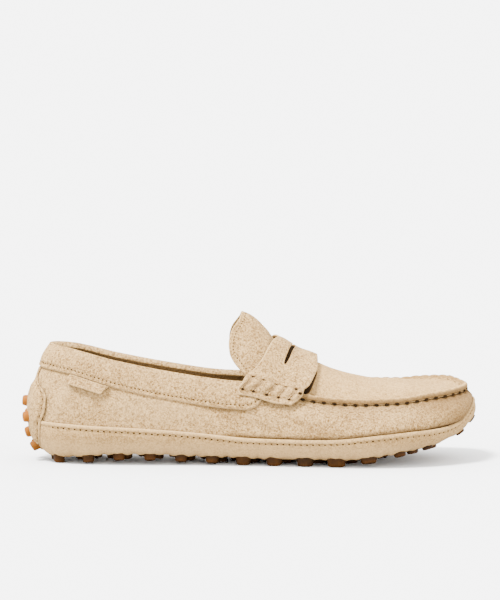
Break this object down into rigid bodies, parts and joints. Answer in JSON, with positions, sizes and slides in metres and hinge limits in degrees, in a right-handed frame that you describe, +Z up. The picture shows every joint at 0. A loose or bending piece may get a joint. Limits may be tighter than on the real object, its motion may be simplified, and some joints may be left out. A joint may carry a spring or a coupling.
{
  "type": "driving moccasin",
  "caption": "Right-foot suede driving moccasin with a slotted saddle strap, collar band, raised apron seam and rubber nubs on sole and heel.",
  "frame": {"origin": "on the floor under the middle of the heel, on the flat foot of the nub there", "axes": "+X towards the toe, +Y towards the medial side of this right shoe, +Z up"},
  "size_m": [0.2865, 0.0984, 0.0941],
  "materials": {
    "sand_suede": "brushed suede, matt",
    "footbed_suede": "brushed suede, matt",
    "gum_rubber": "satin"
  },
  "bodies": {
    "root": {"rubber_sole": "gum_rubber", "toe_nub": "gum_rubber", "heel_nubs": "gum_rubber", "sole_wrap": "sand_suede", "upper": "sand_suede", "insole": "footbed_suede", "tongue": "sand_suede", "apron": "sand_suede", "collar_band": "sand_suede", "saddle_strap": "sand_suede", "heel_tab": "sand_suede", "side_tag": "sand_suede"}
  },
  "joints": []
}
